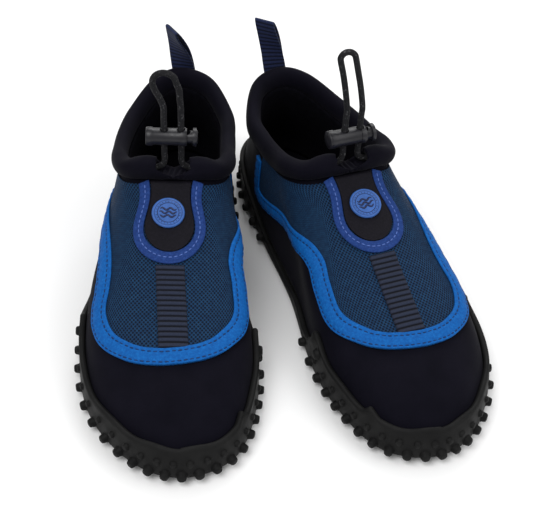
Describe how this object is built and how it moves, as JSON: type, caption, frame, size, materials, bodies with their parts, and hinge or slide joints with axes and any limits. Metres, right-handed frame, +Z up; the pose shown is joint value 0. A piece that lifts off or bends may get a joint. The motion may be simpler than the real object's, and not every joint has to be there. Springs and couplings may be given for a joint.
{
  "type": "pair of water shoes",
  "caption": "Pair of low-cut neoprene water shoes with studded rubber soles, mesh vamps, padded collars, bungee cord locks and heel pull loops.",
  "frame": {"origin": "middle of the pair's box, on the floor", "axes": "+Z up, +Y towards the heels, +X from the right shoe to the left shoe; the right shoe points along -Y"},
  "size_m": [0.2166, 0.2684, 0.1454],
  "materials": {
    "sole_rubber": "matte moulded rubber with round studs",
    "board_fabric": "felted sole board",
    "footbed_foam": "fabric-faced foam",
    "lining_fabric": "brushed knit",
    "neoprene": "smooth knit-faced neoprene",
    "mesh_fabric": "fine open mesh",
    "azure_trim": "suede-like synthetic leather, double stitched",
    "black_suede": "suede-like synthetic leather",
    "violet_trim": "suede-like synthetic leather, stitched",
    "ribbed_webbing": "ribbed webbing",
    "badge_plastic": "moulded soft plastic",
    "elastic_cord": "braided sleeve over elastic",
    "lock_plastic": "moulded nylon, light sheen",
    "spring_steel": "steel wire",
    "loop_webbing": "ribbed webbing"
  },
  "bodies": {
    "right_shoe": {"right_outsole": "sole_rubber", "right_strobel_board": "board_fabric", "right_insole": "footbed_foam", "right_lining": "lining_fabric", "right_upper_shell": "neoprene", "right_mesh_panel": "mesh_fabric", "right_band_trim": "azure_trim", "right_badge_patch": "black_suede", "right_patch_trim": "violet_trim", "right_vamp_strap": "ribbed_webbing", "right_badge": "badge_plastic", "right_collar": "neoprene", "right_notch_gusset": "neoprene", "right_cord": "elastic_cord"},
    "right_cord_lock": {"right_lock_barrel": "lock_plastic", "right_lock_spring": "spring_steel"},
    "right_lock_button": {"right_lock_plunger": "lock_plastic"},
    "right_heel_loop": {"right_pull_loop": "loop_webbing"},
    "left_shoe": {"left_outsole": "sole_rubber", "left_strobel_board": "board_fabric", "left_insole": "footbed_foam", "left_lining": "lining_fabric", "left_upper_shell": "neoprene", "left_mesh_panel": "mesh_fabric", "left_band_trim": "azure_trim", "left_badge_patch": "black_suede", "left_patch_trim": "violet_trim", "left_vamp_strap": "ribbed_webbing", "left_badge": "badge_plastic", "left_collar": "neoprene", "left_notch_gusset": "neoprene", "left_cord": "elastic_cord"},
    "left_cord_lock": {"left_lock_barrel": "lock_plastic", "left_lock_spring": "spring_steel"},
    "left_lock_button": {"left_lock_plunger": "lock_plastic"},
    "left_heel_loop": {"left_pull_loop": "loop_webbing"}
  },
  "joints": [
    {"name": "left_shoe_lift", "type": "slide", "parent": "right_shoe", "child": "left_shoe", "axis": [0, 0, 1], "range_m": [0, 0.15]},
    {"name": "right_lock_slide", "type": "slide", "parent": "right_shoe", "child": "right_cord_lock", "axis": [0, 0, 1], "range_m": [0, 0.012]},
    {"name": "right_button_press", "type": "slide", "parent": "right_cord_lock", "child": "right_lock_button", "axis": [-1, 0, 0], "range_m": [0, 0.0028], "stiffness_N_per_m": 500, "springref_m": -0.004, "deforming": ["right_lock_spring"]},
    {"name": "right_heel_loop_flex", "type": "hinge", "parent": "right_shoe", "child": "right_heel_loop", "pos_m": [-0.05868, 0.11807, 0.065], "axis": [-1, 0, 0], "range_deg": [0, 70], "stiffness_Nm_per_rad": 0.02},
    {"name": "left_lock_slide", "type": "slide", "parent": "left_shoe", "child": "left_cord_lock", "axis": [0, 0, 1], "range_m": [0, 0.012]},
    {"name": "left_button_press", "type": "slide", "parent": "left_cord_lock", "child": "left_lock_button", "axis": [-0.9397, -0.342, 0], "range_m": [0, 0.0028], "stiffness_N_per_m": 500, "springref_m": -0.004, "deforming": ["left_lock_spring"]},
    {"name": "left_heel_loop_flex", "type": "hinge", "parent": "left_shoe", "child": "left_heel_loop", "pos_m": [-0.00256, 0.12095, 0.065], "axis": [-0.9397, -0.342, 0], "range_deg": [0, 70], "stiffness_Nm_per_rad": 0.02}
  ]
}
